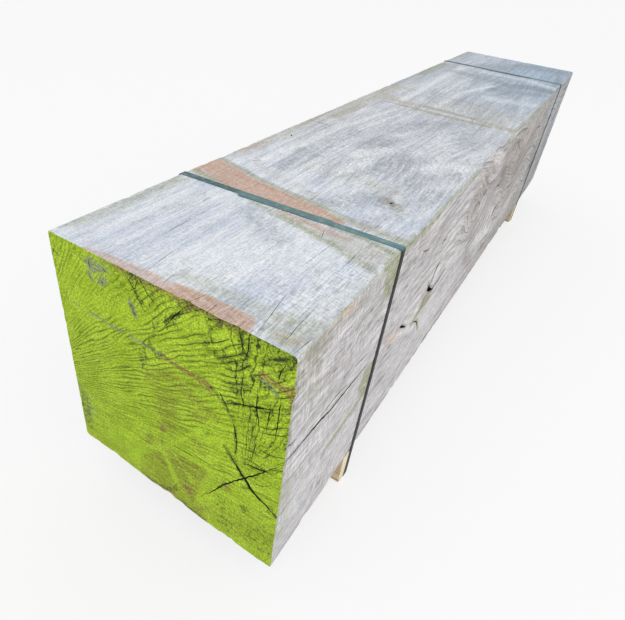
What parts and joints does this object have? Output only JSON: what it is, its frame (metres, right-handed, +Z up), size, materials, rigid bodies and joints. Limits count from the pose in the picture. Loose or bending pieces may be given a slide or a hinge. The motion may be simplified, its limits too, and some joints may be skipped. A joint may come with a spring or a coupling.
{
  "type": "hardwood post",
  "caption": "Heavy sawn hardwood post with an end-painted face and seasoning checks, banded to softwood bearers laid on edge beneath it.",
  "frame": {"origin": "under the middle of the bundle, on the floor it lies on", "axes": "+Y along the post, away from its painted end; +Z up; +X across"},
  "size_m": [0.502, 2.4, 0.627],
  "materials": {
    "weathered_hardwood": "rough sawn, weathered silver grey, the end painted lime green",
    "softwood": "planed, dry",
    "strap_plastic": "smooth, very dark green, part gloss"
  },
  "bodies": {
    "root": {"post": "weathered_hardwood", "bearer_near": "softwood", "bearer_far": "softwood", "strap_near": "strap_plastic", "strap_far": "strap_plastic"}
  },
  "joints": []
}
